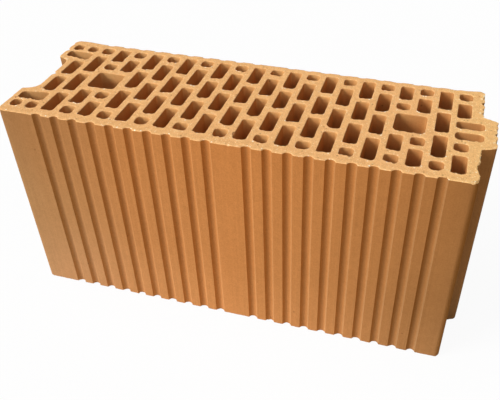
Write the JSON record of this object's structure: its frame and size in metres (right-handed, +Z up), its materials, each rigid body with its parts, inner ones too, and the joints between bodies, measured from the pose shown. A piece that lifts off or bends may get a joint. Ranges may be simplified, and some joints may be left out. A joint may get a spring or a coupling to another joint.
{
  "type": "hollow clay block",
  "caption": "Hollow fired-clay wall block with vertical cells, grip holes, keying grooves on both faces, and a tongue and groove at its ends.",
  "frame": {"origin": "middle of the overall box, tongue included, on the lower bed face", "axes": "+X along the block towards the tongue, +Y across the wall, +Z up along the cells"},
  "size_m": [0.5124, 0.175, 0.249],
  "materials": {
    "fired_clay": "matt, sandy"
  },
  "bodies": {
    "root": {"clay_block": "fired_clay"}
  },
  "joints": []
}
